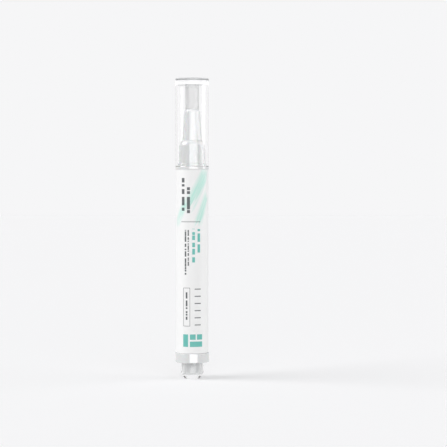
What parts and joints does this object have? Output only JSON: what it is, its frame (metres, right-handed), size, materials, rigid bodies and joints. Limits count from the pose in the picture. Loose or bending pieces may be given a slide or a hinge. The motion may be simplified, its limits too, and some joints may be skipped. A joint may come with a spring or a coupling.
{
  "type": "nail oil pen",
  "caption": "Click-action nail oil pen with clear cap, brush on a tapered nozzle, white barrel with screw-fed piston, and clear push button at the end.",
  "frame": {"origin": "centre of the push button's flat end face, on which the pen stands", "axes": "+Z along the pen's axis towards the cap, +Y away from the viewer, +X to the viewer's right"},
  "size_m": [0.0152, 0.0152, 0.1347],
  "materials": {
    "clear_styrene": "clear, polished",
    "white_gloss_plastic": "satin gloss, printed",
    "natural_polypropylene": "semi-gloss, slightly milky",
    "natural_polyethylene": "waxy",
    "white_acetal": "satin",
    "natural_acetal": "satin",
    "nylon_bristle": "fine pale strands, slight sheen",
    "stainless_steel": "drawn"
  },
  "bodies": {
    "pen_body": {"barrel": "white_gloss_plastic", "nozzle": "natural_polypropylene", "brush_ferrule": "natural_polypropylene", "brush_bristles": "nylon_bristle", "feed_tube": "stainless_steel", "end_collar": "natural_polypropylene", "mechanism_housing": "white_acetal", "detent_ring": "natural_acetal", "screw_nut": "white_acetal", "return_spring": "stainless_steel"},
    "cap": {"cap": "clear_styrene"},
    "button": {"push_button": "clear_styrene", "cam_sleeve": "white_acetal"},
    "driver": {"pawl_driver": "natural_acetal"},
    "ratchet": {"ratchet_wheel": "natural_acetal"},
    "screw": {"lead_screw": "white_acetal"},
    "piston": {"piston": "natural_polyethylene"}
  },
  "joints": [
    {"name": "cap_pull", "type": "slide", "parent": "pen_body", "child": "cap", "axis": [0, 0, 1], "range_m": [0, 0.045]},
    {"name": "button_press", "type": "slide", "parent": "pen_body", "child": "button", "axis": [0, 0, 1], "range_m": [0, 0.0028], "stiffness_N_per_m": 500, "springref_m": -0.003, "deforming": ["return_spring"]},
    {"name": "driver_turn", "type": "hinge", "parent": "pen_body", "child": "driver", "pos_m": [0, 0, 0.033], "axis": [0, 0, 1], "range_deg": [0, 34.05]},
    {"name": "screw_turn", "type": "hinge", "parent": "pen_body", "child": "ratchet", "pos_m": [0, 0, 0.04], "axis": [0, 0, 1], "range_deg": [0, 5401]},
    {"name": "screw_feed", "type": "slide", "parent": "ratchet", "child": "screw", "axis": [0, 0, 1], "range_m": [0, 0.03001]},
    {"name": "piston_feed", "type": "slide", "parent": "pen_body", "child": "piston", "axis": [0, 0, 1], "range_m": [0, 0.03]}
  ],
  "couplings": [
    {"joint": "driver_turn", "follows": "button_press", "rad_per_m": 211.93},
    {"joint": "screw_turn", "follows": "piston_feed", "rad_per_m": 3141.6},
    {"joint": "screw_feed", "follows": "piston_feed", "ratio": 1}
  ]
}
